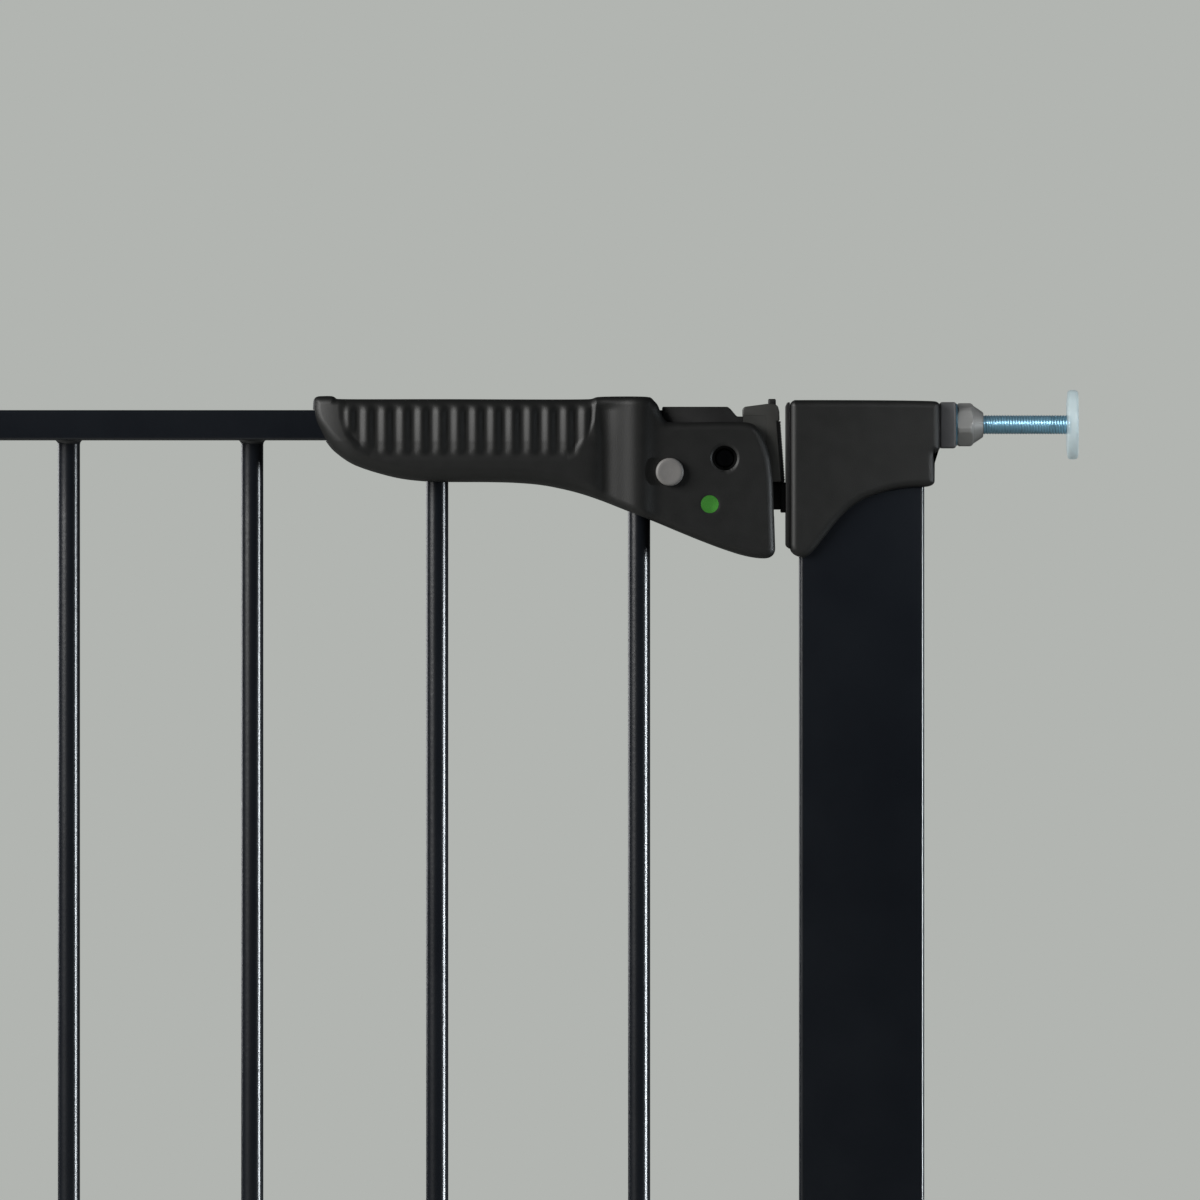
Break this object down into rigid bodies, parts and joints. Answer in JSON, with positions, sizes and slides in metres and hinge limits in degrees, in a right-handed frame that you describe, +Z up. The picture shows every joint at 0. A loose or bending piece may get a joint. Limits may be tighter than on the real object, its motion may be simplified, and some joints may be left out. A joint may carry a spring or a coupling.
{
  "type": "stair gate latch",
  "caption": "Sliding latch of a pressure-fit stair gate: fluted slide handle with thumb button, keeper on the frame post, and a screw-out wall spindle with nut and round pad.",
  "frame": {"origin": "centre of the wall pad's face, on the spindle's axis", "axes": "+X points at the wall, +Z up, and the front faces -Y"},
  "size_m": [0.393, 0.0344, 0.2965],
  "materials": {
    "black_shell": "fine moulded texture, satin",
    "black_inner": "plain moulded black",
    "grey_nose": "satin grey moulding",
    "button_grey": "light grey moulding",
    "paint_black": "semi-gloss powder coat",
    "zinc": "bright zinc plate",
    "steel": "plain steel",
    "pad_clear": "translucent soft plastic",
    "acetal": "white slippery plastic",
    "green": "printed green",
    "red": "printed red",
    "lens": "clear plastic window"
  },
  "bodies": {
    "frame": {"frame_post": "paint_black", "keeper_front_shell": "black_shell", "keeper_rear_shell": "black_shell", "strike_plate": "black_inner", "strike_screws": "steel", "keeper_screws": "steel", "bearing_block": "grey_nose", "spindle_bush": "acetal", "thrust_washer": "zinc"},
    "nut": {"adjusting_nut": "zinc"},
    "spindle": {"adjusting_spindle": "zinc", "wall_pad": "pad_clear"},
    "gate_leaf": {"top_rail": "paint_black", "gate_bar_1": "paint_black", "gate_bar_2": "paint_black", "gate_bar_3": "paint_black", "gate_bar_4": "paint_black", "rail_end_carrier": "black_inner", "rail_pin": "steel", "nose_cap": "grey_nose", "nose_pin": "black_inner", "end_guide": "black_inner", "cap_screws": "steel", "indicator_slide": "acetal", "indicator_green": "green", "indicator_red": "red"},
    "handle": {"handle_front_shell": "black_shell", "handle_rear_shell": "black_shell", "latch_bolt": "black_inner", "bolt_pins": "steel", "shell_screws": "steel", "recess_screw": "steel", "indicator_lens": "lens", "liner_upper": "acetal", "liner_lower": "acetal", "return_spring": "steel", "button_cage": "black_inner"},
    "button": {"thumb_button": "button_grey", "button_stem": "steel", "button_spring": "steel"}
  },
  "joints": [
    {"name": "leaf_lift", "type": "slide", "parent": "frame", "child": "gate_leaf", "axis": [0, 0, 1], "range_m": [0, 0.008]},
    {"name": "handle_slide", "type": "slide", "parent": "gate_leaf", "child": "handle", "axis": [-1, 0, 0], "range_m": [0, 0.01], "stiffness_N_per_m": 250, "springref_m": -0.012, "deforming": ["return_spring"]},
    {"name": "button_press", "type": "slide", "parent": "handle", "child": "button", "axis": [0, 1, 0], "range_m": [0, 0.002], "stiffness_N_per_m": 400, "springref_m": -0.002, "deforming": ["button_spring"]},
    {"name": "nut_spin", "type": "hinge", "parent": "frame", "child": "nut", "pos_m": [-0.039, 0, 0], "axis": [1, 0, 0], "range_deg": [-7210, 5410]},
    {"name": "spindle_extend", "type": "slide", "parent": "frame", "child": "spindle", "axis": [1, 0, 0], "range_m": [-0.02, 0.015]}
  ],
  "couplings": [
    {"joint": "nut_spin", "follows": "spindle_extend", "rad_per_m": 6283.2}
  ]
}
